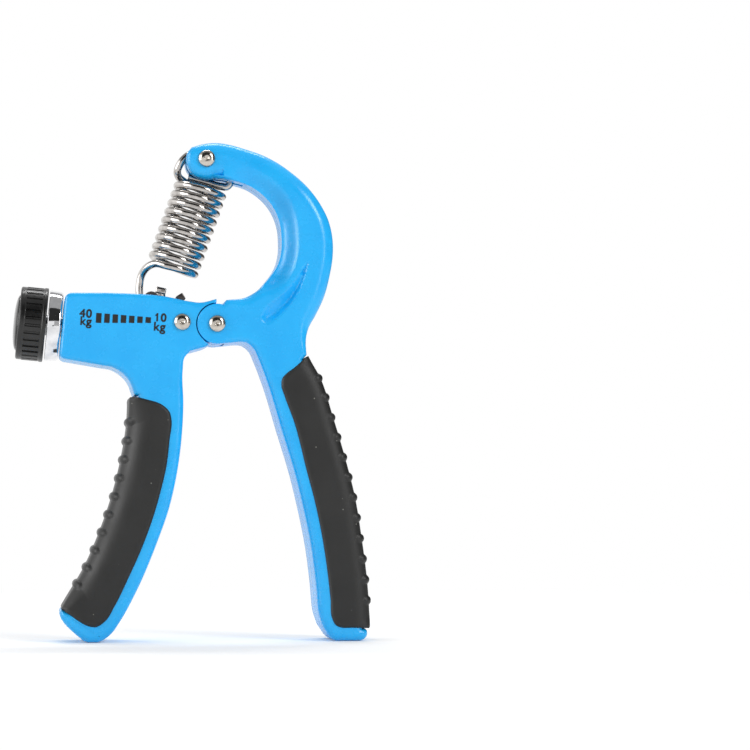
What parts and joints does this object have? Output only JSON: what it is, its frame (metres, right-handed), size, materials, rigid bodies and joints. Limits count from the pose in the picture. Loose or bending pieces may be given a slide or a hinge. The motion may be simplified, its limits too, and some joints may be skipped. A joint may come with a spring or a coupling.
{
  "type": "hand grip strengthener",
  "caption": "Adjustable hand grip strengthener: ribbed handles hinged on a rivet, held apart by a hooked extension spring whose pull is set by a knob on a screw.",
  "frame": {"origin": "centre of the bounding box in plan, at the height of the handle tips it stands on", "axes": "+Z from the handle tips up to the top of the ring, +X from the adjusting knob towards the squeezing handle, -Y out of the printed front face"},
  "size_m": [0.1058, 0.024, 0.1481],
  "materials": {
    "blue_plastic": "satin moulded plastic",
    "grey_rubber": "matt moulded rubber",
    "black_plastic": "glossy",
    "chrome": "mirror plated",
    "nickel": "polished nickel plate",
    "spring_steel": "bright drawn wire",
    "dark_steel": "blackened",
    "white_nylon": "satin"
  },
  "bodies": {
    "left_handle": {"left_front_shell": "blue_plastic", "left_back_shell": "blue_plastic", "left_grip": "grey_rubber", "collar": "chrome", "thrust_washer": "spring_steel", "shell_rivet": "nickel", "pivot_rivet": "nickel", "pivot_washer_front": "white_nylon", "pivot_washer_back": "white_nylon", "screw_end_bracket": "dark_steel"},
    "right_handle": {"right_front_shell": "blue_plastic", "right_back_shell": "blue_plastic", "right_grip": "grey_rubber", "lug_rivet": "nickel"},
    "adjuster": {"knob_ring": "black_plastic", "knob_cap": "black_plastic", "knob_nut": "spring_steel", "adjusting_screw": "spring_steel", "screw_clip": "dark_steel"},
    "slider": {"slider_nut": "dark_steel", "hook_pin": "spring_steel"},
    "eye_swivel": {"eye_sleeve": "nickel"},
    "spring": {"spring": "spring_steel"},
    "hook_end": {"hook_end_cap": "nickel"}
  },
  "joints": [
    {"name": "handle_squeeze", "type": "hinge", "parent": "left_handle", "child": "right_handle", "pos_m": [0.00695, 0, 0.0936], "axis": [0, 1, 0], "range_deg": [0, 34], "stiffness_Nm_per_rad": 4.1, "springref_deg": -9.17},
    {"name": "adjuster_turn", "type": "hinge", "parent": "left_handle", "child": "adjuster", "pos_m": [-0.0385, 0, 0.09292], "axis": [0.996, 0, -0.0889], "range_deg": [0, 5219]},
    {"name": "slider_travel", "type": "slide", "parent": "left_handle", "child": "slider", "axis": [-0.996, 0, 0.0889], "range_m": [0, 0.0145]},
    {"name": "eye_swing", "type": "hinge", "parent": "right_handle", "child": "eye_swivel", "pos_m": [0.00395, 0, 0.1429], "axis": [0, 1, 0], "range_deg": [-17, 0]},
    {"name": "spring_stretch", "type": "slide", "parent": "eye_swivel", "child": "spring", "axis": [-0.9337, 0, -0.358], "range_m": [0, 0.0169], "deforming": ["spring"]},
    {"name": "spring_preload", "type": "slide", "parent": "spring", "child": "hook_end", "axis": [-0.9999, 0, -0.013], "range_m": [0, 0.0146]}
  ],
  "couplings": [
    {"joint": "slider_travel", "follows": "adjuster_turn", "m_per_rad": 0.00015915},
    {"joint": "eye_swing", "follows": "handle_squeeze", "ratio": -0.5},
    {"joint": "spring_stretch", "follows": "handle_squeeze", "m_per_rad": 0.028467},
    {"joint": "spring_preload", "follows": "adjuster_turn", "m_per_rad": 0.00016006}
  ]
}
